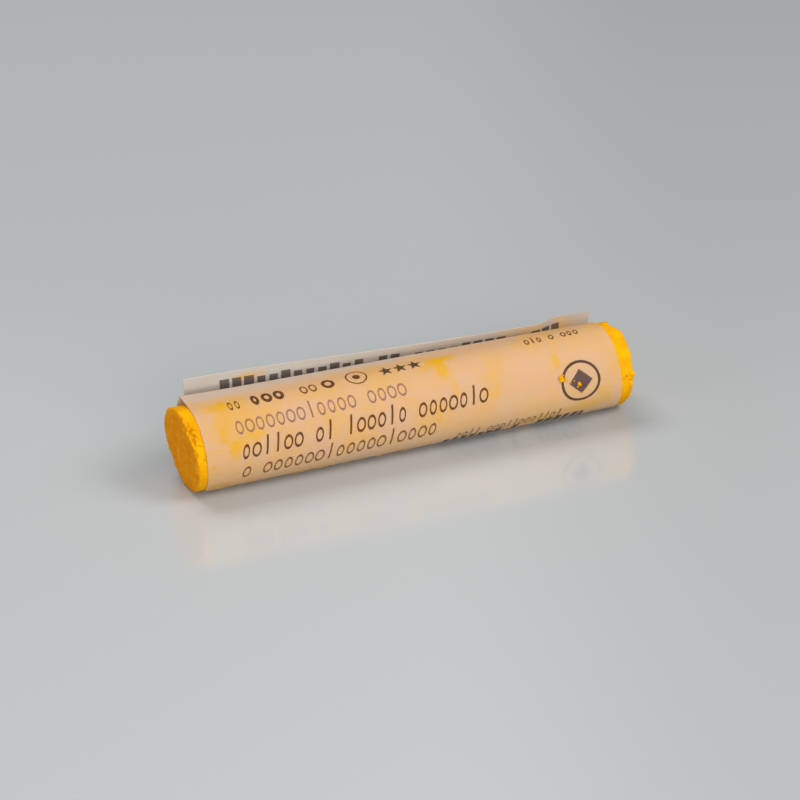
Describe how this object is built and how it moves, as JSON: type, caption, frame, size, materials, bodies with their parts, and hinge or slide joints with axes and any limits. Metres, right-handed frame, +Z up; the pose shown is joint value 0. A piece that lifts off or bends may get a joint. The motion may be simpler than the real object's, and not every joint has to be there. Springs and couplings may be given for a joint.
{
  "type": "soft pastel stick",
  "caption": "Round soft pastel stick lying on its side in a rolled paper wrapper, whose outer edge has come loose and stands up behind it.",
  "frame": {"origin": "on the surface that the stick lies on, below the middle of its axis, at the middle of the flat underside", "axes": "+X along the stick to its right end as seen from the front, +Y to the back, where the loose end of the paper stands, +Z up"},
  "size_m": [0.066, 0.0142, 0.014],
  "materials": {
    "pigment": "matt pressed pigment, deep yellow, powdery",
    "wrapper_paper": "thin satin paper that the yellow shows through"
  },
  "bodies": {
    "root": {"pastel_stick": "pigment", "paper_wrapper": "wrapper_paper"}
  },
  "joints": []
}
